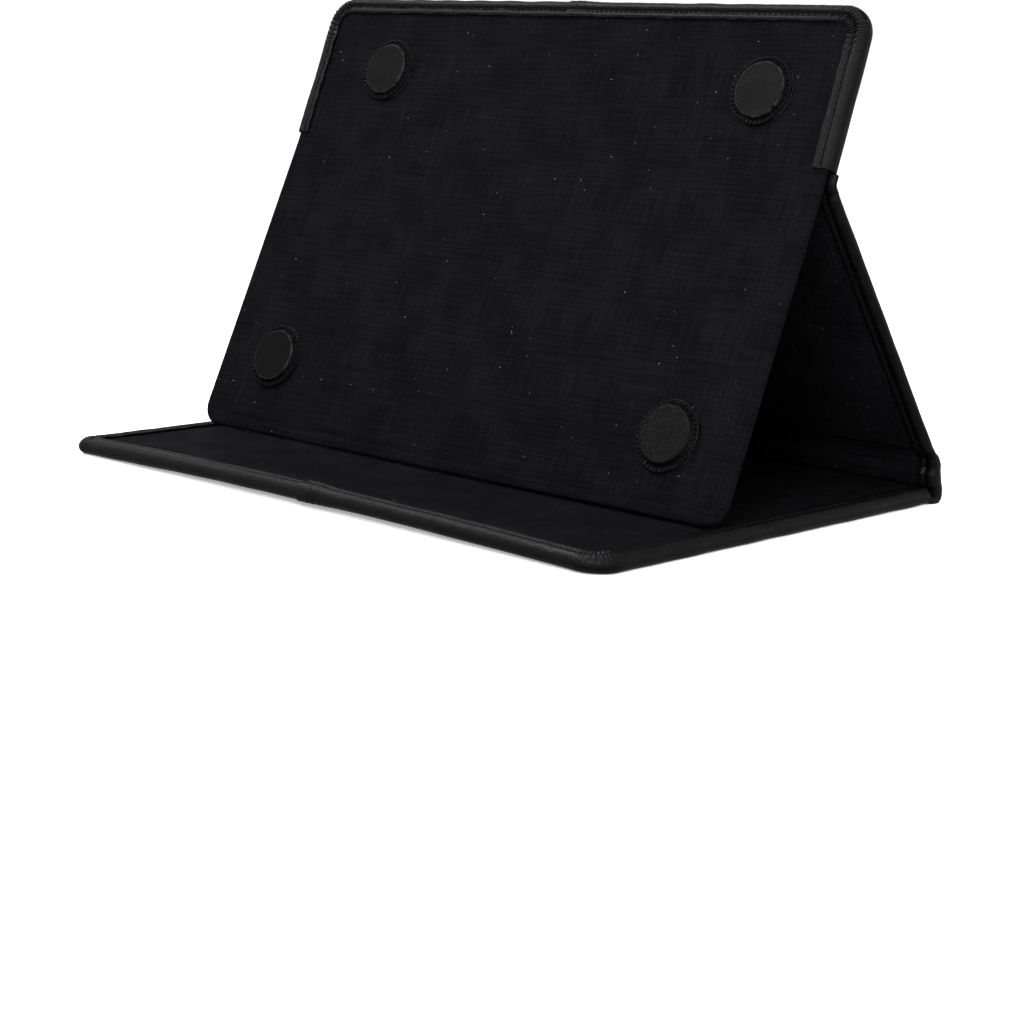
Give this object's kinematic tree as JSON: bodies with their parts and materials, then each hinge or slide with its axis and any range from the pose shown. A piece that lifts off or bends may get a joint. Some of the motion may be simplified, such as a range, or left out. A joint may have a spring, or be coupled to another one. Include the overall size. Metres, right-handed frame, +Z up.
{
  "type": "tablet case",
  "caption": "Folio tablet case standing as an A-frame: leather-covered folding panels and a fabric-faced plate with round sewn magnet discs.",
  "frame": {"origin": "on the surface the case stands on, below the middle of the standing case", "axes": "+X across the case to the right as seen by the user, +Y from the nose of the cover to the spine, +Z up"},
  "size_m": [0.25, 0.1756, 0.1661],
  "materials": {
    "leather": "satin",
    "lining_fabric": "matte",
    "plate_fabric": "matte",
    "thread": "satin",
    "board": "matte",
    "foam": "matte",
    "backing_felt": "matte",
    "magnet": "satin"
  },
  "bodies": {
    "base": {"base_board": "board", "base_leather_left": "leather", "base_leather_right": "leather", "base_lining": "lining_fabric", "base_padding": "foam", "base_stitching": "thread"},
    "spine": {"spine_board": "board", "spine_leather_left": "leather", "spine_leather_right": "leather", "spine_lining": "lining_fabric", "spine_stitching": "thread"},
    "lower_back": {"lower_back_board": "board", "lower_back_leather_left": "leather", "lower_back_leather_right": "leather", "lower_back_lining": "lining_fabric", "lower_back_stitching": "thread"},
    "holder": {"binding_stitching": "thread", "disc_backing_bottom_left": "backing_felt", "disc_backing_bottom_right": "backing_felt", "disc_backing_top_left": "backing_felt", "disc_backing_top_right": "backing_felt", "disc_cover_bottom_left": "leather", "disc_cover_bottom_right": "leather", "disc_cover_top_left": "leather", "disc_cover_top_right": "leather", "disc_magnet_bottom_left": "magnet", "disc_magnet_bottom_right": "magnet", "disc_magnet_top_left": "magnet", "disc_magnet_top_right": "magnet", "disc_stitching_bottom_left": "thread", "disc_stitching_bottom_right": "thread", "disc_stitching_top_left": "thread", "disc_stitching_top_right": "thread", "plate_back_fabric": "plate_fabric", "plate_board": "board", "plate_front_fabric": "plate_fabric", "plate_stitching": "thread", "upper_back_board": "board", "upper_back_leather_left": "leather", "upper_back_leather_right": "leather", "upper_back_lining": "lining_fabric", "upper_back_padding": "foam"}
  },
  "joints": [
    {"name": "base_spine_fold", "type": "hinge", "parent": "base", "child": "spine", "pos_m": [0, 0.08615, 0.0017], "axis": [-1, 0, 0], "range_deg": [0, 100]},
    {"name": "spine_back_fold", "type": "hinge", "parent": "spine", "child": "lower_back", "pos_m": [0, 0.08377, 0.01519], "axis": [-1, 0, 0], "range_deg": [0, 24.97]},
    {"name": "crease_fold", "type": "hinge", "parent": "lower_back", "child": "holder", "pos_m": [0, 0.01814, 0.10901], "axis": [1, 0, 0], "range_deg": [0, 55.47]}
  ],
  "couplings": [
    {"joint": "crease_fold", "follows": "base_spine_fold", "ratio": 0.55472}
  ]
}
